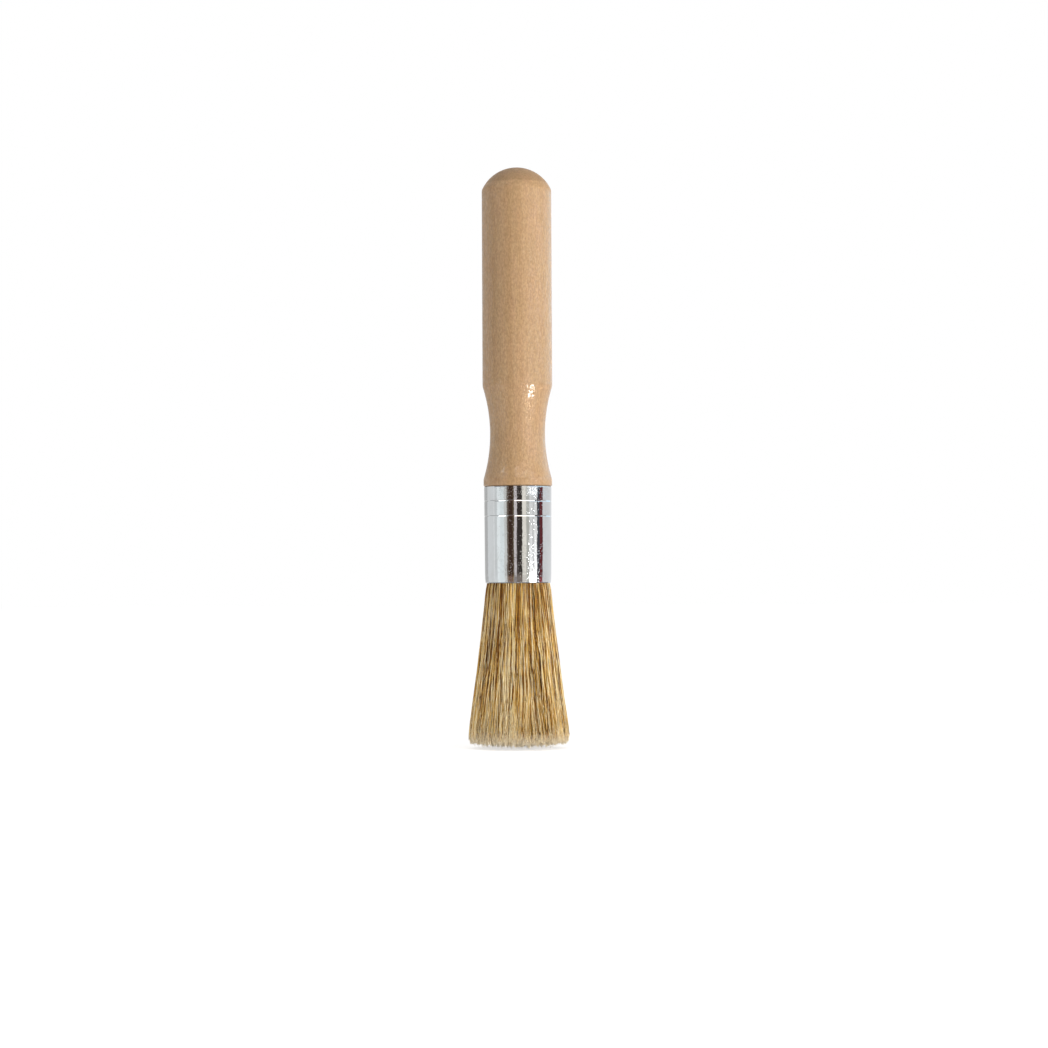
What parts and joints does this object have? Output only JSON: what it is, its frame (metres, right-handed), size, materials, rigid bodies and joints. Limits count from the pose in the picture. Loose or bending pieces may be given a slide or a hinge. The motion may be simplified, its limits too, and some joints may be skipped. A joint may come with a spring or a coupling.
{
  "type": "pastry brush",
  "caption": "Round pastry brush: domed wooden handle with a narrow waist, rolled metal ferrule and a fanned knot of natural bristle.",
  "frame": {"origin": "on the brush's axis, at the level of the trimmed bristle tips that it stands on", "axes": "+Z runs from the bristle tips up the handle; the brush is round, so +X and +Y are free"},
  "size_m": [0.0258, 0.0258, 0.15],
  "materials": {
    "lacquered_wood": "satin",
    "tinplate": "polished",
    "set_resin": "gloss",
    "bristle": "matte"
  },
  "bodies": {
    "root": {"handle": "lacquered_wood", "ferrule": "tinplate", "resin_plug": "set_resin", "bristle_core": "bristle", "bristle_row_inner": "bristle", "bristle_row_outer": "bristle"}
  },
  "joints": []
}
